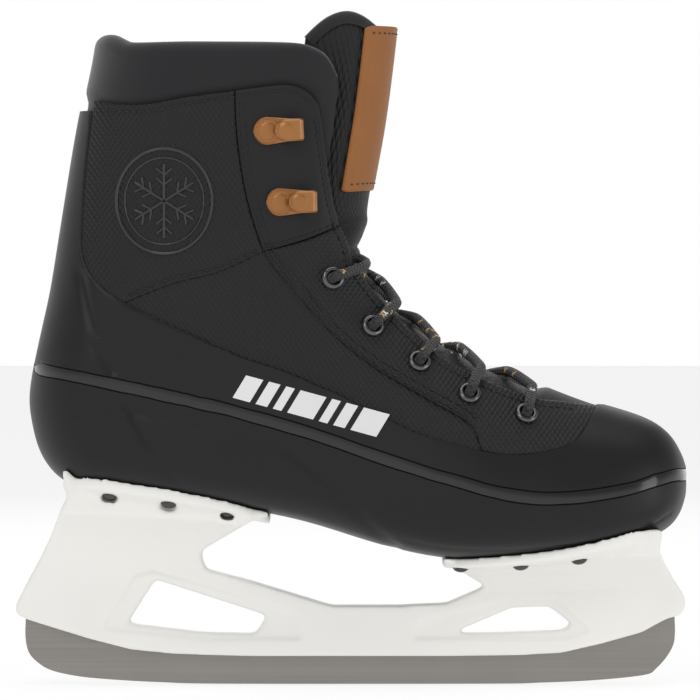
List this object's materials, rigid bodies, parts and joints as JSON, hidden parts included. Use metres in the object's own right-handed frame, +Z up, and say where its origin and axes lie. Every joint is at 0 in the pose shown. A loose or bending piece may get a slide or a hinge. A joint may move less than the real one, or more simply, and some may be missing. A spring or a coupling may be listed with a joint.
{
  "type": "ice skate",
  "caption": "Right recreational ice skate: black lace-up boot with padded collar, tan hooks and tongue label, white blade holder and steel runner.",
  "frame": {"origin": "middle of the runner's flat running face, on the ice", "axes": "+X towards the toe, +Z up, -Y the outer side of a right foot"},
  "size_m": [0.2988, 0.103, 0.299],
  "materials": {
    "shell_black": "satin moulded",
    "gloss_black": "glossy",
    "upper_black": "embossed synthetic leather",
    "trim_black": "smooth synthetic leather",
    "collar_black": "padded knit",
    "lining_grey": "brushed",
    "board_grey": "pressed board",
    "footbed_grey": "foam with fabric top",
    "tan_metal": "tan paint",
    "tan_leather": "smooth tan",
    "eyelet_black": "black gloss",
    "lace_black": "round braid with light flecks",
    "aglet_black": "shrink film",
    "holder_white": "white nylon, satin",
    "runner_steel": "ground",
    "rivet_steel": "dark plated",
    "bolt_steel": "plated"
  },
  "bodies": {
    "boot": {"aglet_left": "aglet_black", "aglet_right": "aglet_black", "ankle_panel_left": "upper_black", "ankle_panel_right": "upper_black", "blade_holder": "holder_white", "boot_shell": "shell_black", "collar_pad": "collar_black", "eyelet_left_1": "eyelet_black", "eyelet_left_2": "eyelet_black", "eyelet_left_3": "eyelet_black", "eyelet_left_4": "eyelet_black", "eyelet_left_5": "eyelet_black", "eyelet_right_1": "eyelet_black", "eyelet_right_2": "eyelet_black", "eyelet_right_3": "eyelet_black", "eyelet_right_4": "eyelet_black", "eyelet_right_5": "eyelet_black", "eyestay_left": "trim_black", "eyestay_right": "trim_black", "footbed": "footbed_grey", "gloss_band": "gloss_black", "hook_facing_left": "trim_black", "hook_facing_right": "trim_black", "insole_board": "board_grey", "lace": "lace_black", "lace_hook_left_1": "tan_metal", "lace_hook_left_2": "tan_metal", "lace_hook_right_1": "tan_metal", "lace_hook_right_2": "tan_metal", "lining": "lining_grey", "quarter_left": "upper_black", "quarter_right": "upper_black", "rivet_left_heel_1": "rivet_steel", "rivet_left_heel_2": "rivet_steel", "rivet_left_heel_3": "rivet_steel", "rivet_left_toe_1": "rivet_steel", "rivet_left_toe_2": "rivet_steel", "rivet_left_toe_3": "rivet_steel", "rivet_left_toe_4": "rivet_steel", "rivet_right_heel_1": "rivet_steel", "rivet_right_heel_2": "rivet_steel", "rivet_right_heel_3": "rivet_steel", "rivet_right_toe_1": "rivet_steel", "rivet_right_toe_2": "rivet_steel", "rivet_right_toe_3": "rivet_steel", "rivet_right_toe_4": "rivet_steel", "runner": "runner_steel", "runner_bolt_front": "bolt_steel", "runner_bolt_rear": "bolt_steel", "runner_nut_front": "bolt_steel", "runner_nut_rear": "bolt_steel", "tongue_lower": "upper_black"},
    "tongue_top": {"tongue_upper": "upper_black", "tongue_label": "tan_leather"}
  },
  "joints": [
    {"name": "tongue_flex", "type": "hinge", "parent": "boot", "child": "tongue_top", "pos_m": [0.007, 0, 0.2072], "axis": [0, 1, 0], "range_deg": [0, 30], "stiffness_Nm_per_rad": 0.3}
  ]
}
